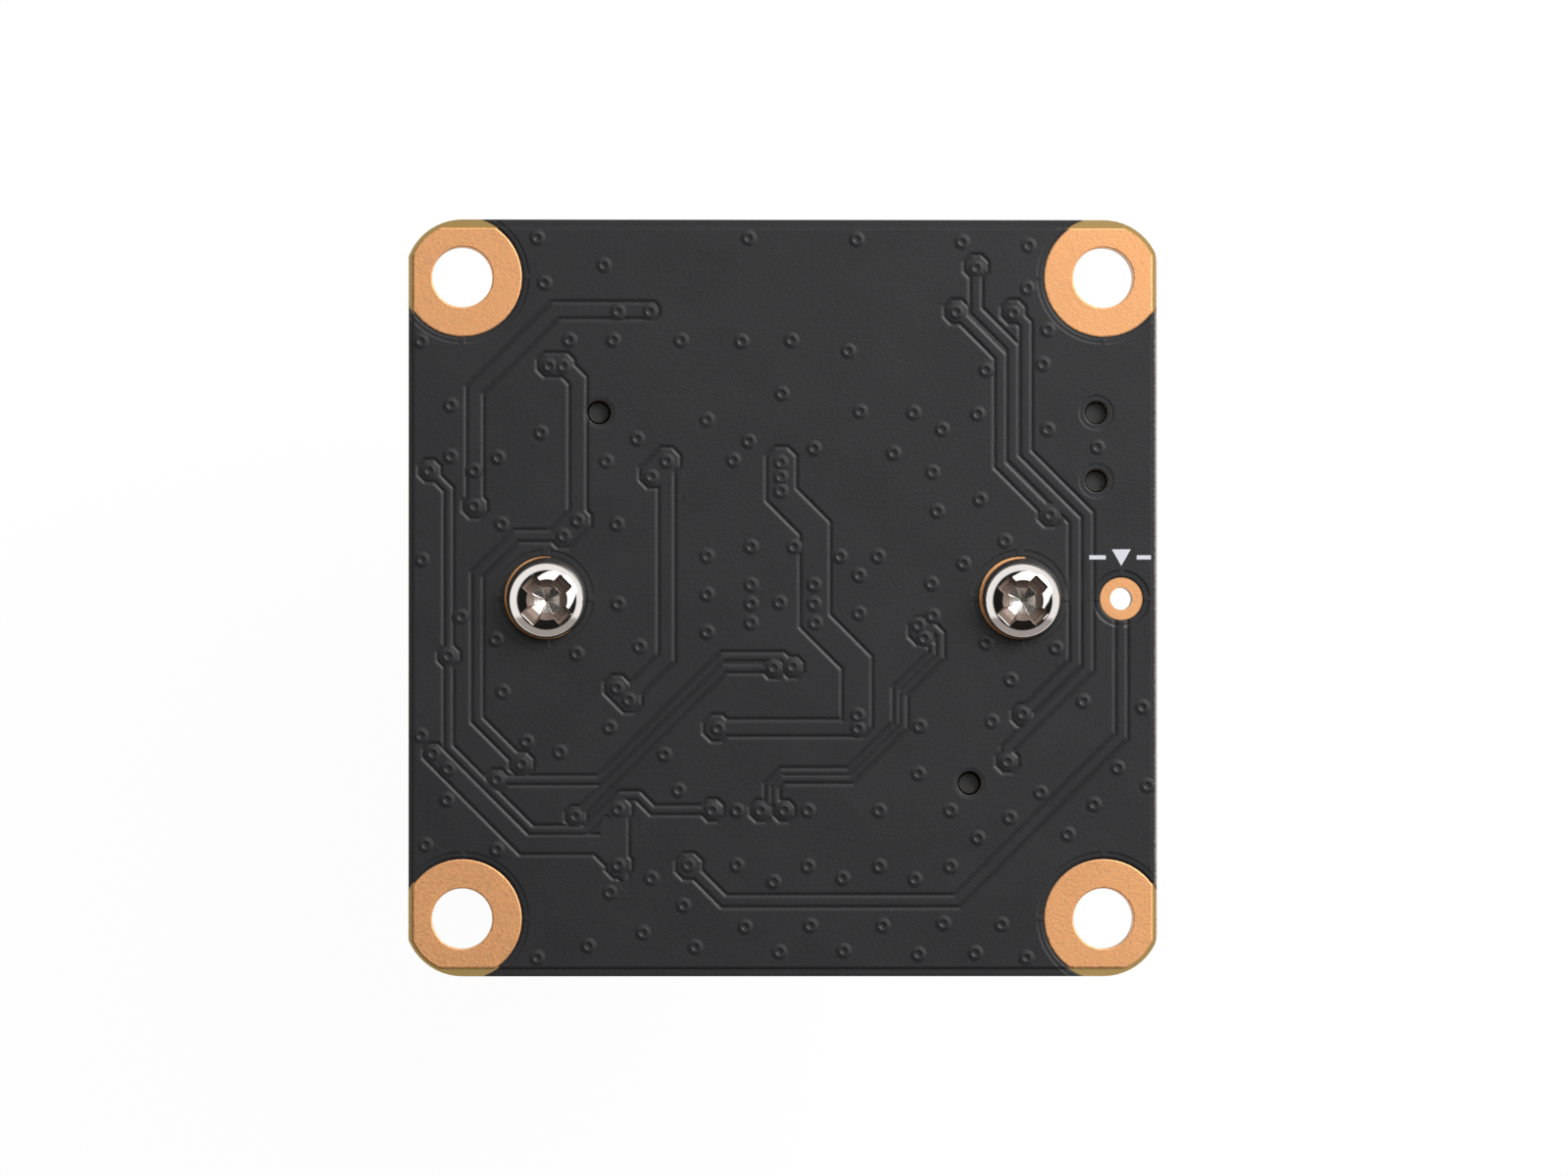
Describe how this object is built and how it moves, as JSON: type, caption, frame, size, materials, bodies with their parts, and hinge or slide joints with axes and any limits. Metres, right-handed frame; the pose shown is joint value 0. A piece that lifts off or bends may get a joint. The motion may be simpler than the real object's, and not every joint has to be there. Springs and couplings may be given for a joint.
{
  "type": "camera module",
  "caption": "Small black camera board with gold corner lands, a screw-in lens over a motor-driven filter switch, a ribbon connector and a side socket.",
  "frame": {"origin": "centre of the four corner holes, on the back face of the board's laminate", "axes": "+Z out of the board's back face, -Z out of the lens; +X along the edge opposite the ribbon connector; +Y away from the ribbon connector"},
  "size_m": [0.0316, 0.0318, 0.0242],
  "materials": {
    "laminate": "bare glass-fibre laminate",
    "black_coat": "satin black solder mask",
    "gold_plate": "satin gold plating",
    "nickel_steel": "bright nickel",
    "holder_plastic": "moulded black, fine grain",
    "black_anodised": "black anodised",
    "lens_glass": "polished, coated",
    "filter_glass": "polished, blue-green tint",
    "magnet": "dark grey, ground",
    "copper_wire": "enamelled copper wire",
    "connector_plastic": "moulded off-white",
    "latch_plastic": "moulded dark brown",
    "tinned_contact": "matt tin",
    "chip_plastic": "moulded dark epoxy",
    "ceramic_body": "fired ceramic"
  },
  "bodies": {
    "board_and_holder": {"circuit_board": "laminate", "solder_mask_back": "black_coat", "corner_lands": "gold_plate", "screw_lands": "gold_plate", "wire_land": "gold_plate", "holder_screws": "nickel_steel", "switch_base": "holder_plastic", "lens_mount": "holder_plastic", "rotor_shaft": "nickel_steel", "coil_yoke": "nickel_steel", "coil_bobbin": "holder_plastic", "coil_winding": "copper_wire", "sensor_chip": "ceramic_body", "sensor_glass": "lens_glass", "ribbon_housing": "connector_plastic", "ribbon_contacts": "tinned_contact", "ribbon_anchors": "tinned_contact", "switch_socket": "holder_plastic", "switch_socket_pins": "tinned_contact", "regulator_bodies": "chip_plastic", "regulator_leads": "tinned_contact", "capacitor_bodies": "ceramic_body", "capacitor_ends": "tinned_contact", "resistor_bodies": "chip_plastic", "resistor_ends": "tinned_contact", "clock_oscillator": "nickel_steel", "driver_chip": "chip_plastic", "driver_leads": "tinned_contact", "power_inductor": "magnet"},
    "latch": {"ribbon_latch": "latch_plastic"},
    "focus_ring": {"lock_ring": "black_anodised"},
    "lens": {"lens_barrel": "black_anodised", "rear_element": "lens_glass", "front_element": "lens_glass"},
    "filter_slide": {"filter_shuttle": "holder_plastic", "infrared_filter": "filter_glass", "clear_filter": "lens_glass"},
    "rotor": {"rotor_magnet": "magnet", "rotor_arm": "connector_plastic"}
  },
  "joints": [
    {"name": "latch_slide", "type": "slide", "parent": "board_and_holder", "child": "latch", "axis": [0, -1, 0], "range_m": [0, 0.001]},
    {"name": "focus_travel", "type": "slide", "parent": "board_and_holder", "child": "focus_ring", "axis": [0, 0, -1], "range_m": [0, 0.0005]},
    {"name": "focus_turn", "type": "hinge", "parent": "focus_ring", "child": "lens", "pos_m": [0.00003, -0.00012, -0.015], "axis": [0, 0, -1], "range_deg": [0, 360]},
    {"name": "rotor_turn", "type": "hinge", "parent": "board_and_holder", "child": "rotor", "pos_m": [0.00003, 0.00948, -0.007], "axis": [0, 0, -1], "range_deg": [0, 80]},
    {"name": "filter_travel", "type": "slide", "parent": "board_and_holder", "child": "filter_slide", "axis": [-1, 0, 0], "range_m": [0, 0.0068]}
  ],
  "couplings": [
    {"joint": "focus_turn", "follows": "focus_travel", "rad_per_m": 12566},
    {"joint": "rotor_turn", "follows": "filter_travel", "rad_per_m": 205.3}
  ]
}
